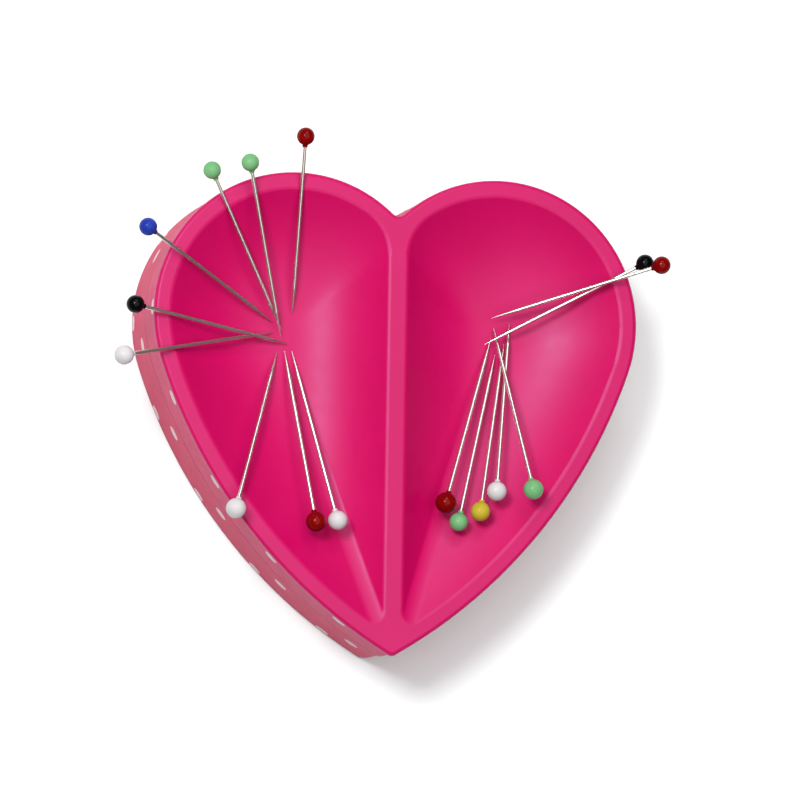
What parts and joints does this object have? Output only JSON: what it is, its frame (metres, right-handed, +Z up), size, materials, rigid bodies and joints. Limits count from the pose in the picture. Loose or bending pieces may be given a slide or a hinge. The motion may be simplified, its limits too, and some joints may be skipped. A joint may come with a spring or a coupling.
{
  "type": "magnetic pin dish",
  "caption": "Heart-shaped magnetic pin dish with two bowls, a dotted printed wall and glass-headed pins that lift out.",
  "frame": {"origin": "on the underside of the foot pad, at the middle of the heart's width and length", "axes": "+Z up out of the bowls, +Y towards the heart's notch and lobes, its tip at -Y, +X to the right"},
  "size_m": [0.0897, 0.0832, 0.0298],
  "materials": {
    "tray_plastic": "satin",
    "base_plastic": "satin",
    "upper_film": "satin print, white polka dots on dusty rose",
    "lower_film": "satin print, white polka dots on dusty rose",
    "magnet": "sintered ferrite",
    "cap_plastic": "satin",
    "screw_steel": "zinc plated",
    "pad_rubber": "matt",
    "pin_steel": "bright nickel-plated steel",
    "blue_glass": "opaque glossy glass",
    "green_glass": "opaque glossy glass",
    "red_glass": "opaque glossy glass",
    "black_glass": "opaque glossy glass",
    "white_glass": "opaque glossy glass",
    "yellow_glass": "opaque glossy glass"
  },
  "bodies": {
    "dish": {"tray_shell": "tray_plastic", "base_shell": "base_plastic", "upper_print_film": "upper_film", "lower_print_film": "lower_film", "left_magnet": "magnet", "right_magnet": "magnet", "left_magnet_cap": "cap_plastic", "right_magnet_cap": "cap_plastic", "assembly_screws": "screw_steel", "foot_pad": "pad_rubber"},
    "left_blue_pin": {"left_blue_pin_shaft": "pin_steel", "left_blue_pin_head": "blue_glass"},
    "left_green_pin_low": {"left_green_pin_low_shaft": "pin_steel", "left_green_pin_low_head": "green_glass"},
    "left_green_pin_high": {"left_green_pin_high_shaft": "pin_steel", "left_green_pin_high_head": "green_glass"},
    "left_red_pin_top": {"left_red_pin_top_shaft": "pin_steel", "left_red_pin_top_head": "red_glass"},
    "left_black_pin": {"left_black_pin_shaft": "pin_steel", "left_black_pin_head": "black_glass"},
    "left_white_pin_side": {"left_white_pin_side_shaft": "pin_steel", "left_white_pin_side_head": "white_glass"},
    "left_white_pin_front": {"left_white_pin_front_shaft": "pin_steel", "left_white_pin_front_head": "white_glass"},
    "left_red_pin_front": {"left_red_pin_front_shaft": "pin_steel", "left_red_pin_front_head": "red_glass"},
    "left_white_pin_inner": {"left_white_pin_inner_shaft": "pin_steel", "left_white_pin_inner_head": "white_glass"},
    "right_black_pin": {"right_black_pin_shaft": "pin_steel", "right_black_pin_head": "black_glass"},
    "right_red_pin_side": {"right_red_pin_side_shaft": "pin_steel", "right_red_pin_side_head": "red_glass"},
    "right_red_pin_front": {"right_red_pin_front_shaft": "pin_steel", "right_red_pin_front_head": "red_glass"},
    "right_green_pin_front": {"right_green_pin_front_shaft": "pin_steel", "right_green_pin_front_head": "green_glass"},
    "right_yellow_pin": {"right_yellow_pin_shaft": "pin_steel", "right_yellow_pin_head": "yellow_glass"},
    "right_white_pin": {"right_white_pin_shaft": "pin_steel", "right_white_pin_head": "white_glass"},
    "right_green_pin_inner": {"right_green_pin_inner_shaft": "pin_steel", "right_green_pin_inner_head": "green_glass"}
  },
  "joints": [
    {"name": "left_blue_pin_lift_out", "type": "slide", "parent": "dish", "child": "left_blue_pin", "axis": [-0.7817, 0.4513, 0.4305], "range_m": [0, 0.034]},
    {"name": "left_green_pin_low_lift_out", "type": "slide", "parent": "dish", "child": "left_green_pin_low", "axis": [-0.4631, 0.8355, 0.2957], "range_m": [0, 0.034]},
    {"name": "left_green_pin_high_lift_out", "type": "slide", "parent": "dish", "child": "left_green_pin_high", "axis": [-0.2468, 0.9212, 0.3007], "range_m": [0, 0.034]},
    {"name": "left_red_pin_top_lift_out", "type": "slide", "parent": "dish", "child": "left_red_pin_top", "axis": [-0.0082, 0.9438, 0.3305], "range_m": [0, 0.034]},
    {"name": "left_black_pin_lift_out", "type": "slide", "parent": "dish", "child": "left_black_pin", "axis": [-0.9238, 0.1546, 0.3502], "range_m": [0, 0.034]},
    {"name": "left_white_pin_side_lift_out", "type": "slide", "parent": "dish", "child": "left_white_pin_side", "axis": [-0.9004, -0.1914, 0.3907], "range_m": [0, 0.034]},
    {"name": "left_white_pin_front_lift_out", "type": "slide", "parent": "dish", "child": "left_white_pin_front", "axis": [-0.2817, -0.8933, 0.3502], "range_m": [0, 0.034]},
    {"name": "left_red_pin_front_lift_out", "type": "slide", "parent": "dish", "child": "left_red_pin_front", "axis": [0.1431, -0.9575, 0.2504], "range_m": [0, 0.034]},
    {"name": "left_white_pin_inner_lift_out", "type": "slide", "parent": "dish", "child": "left_white_pin_inner", "axis": [0.227, -0.9455, 0.2335], "range_m": [0, 0.034]},
    {"name": "right_black_pin_lift_out", "type": "slide", "parent": "dish", "child": "right_black_pin", "axis": [0.8147, 0.519, 0.2588], "range_m": [0, 0.034]},
    {"name": "right_red_pin_side_lift_out", "type": "slide", "parent": "dish", "child": "right_red_pin_side", "axis": [0.8853, 0.2962, 0.3584], "range_m": [0, 0.034]},
    {"name": "right_red_pin_front_lift_out", "type": "slide", "parent": "dish", "child": "right_red_pin_front", "axis": [-0.4385, -0.8606, 0.2588], "range_m": [0, 0.034]},
    {"name": "right_green_pin_front_lift_out", "type": "slide", "parent": "dish", "child": "right_green_pin_front", "axis": [-0.2375, -0.9525, 0.1908], "range_m": [0, 0.034]},
    {"name": "right_yellow_pin_lift_out", "type": "slide", "parent": "dish", "child": "right_yellow_pin", "axis": [-0.1772, -0.9561, 0.2334], "range_m": [0, 0.034]},
    {"name": "right_white_pin_lift_out", "type": "slide", "parent": "dish", "child": "right_white_pin", "axis": [0.2013, -0.947, 0.2504], "range_m": [0, 0.034]},
    {"name": "right_green_pin_inner_lift_out", "type": "slide", "parent": "dish", "child": "right_green_pin_inner", "axis": [0.1541, -0.9208, 0.3584], "range_m": [0, 0.034]}
  ]
}
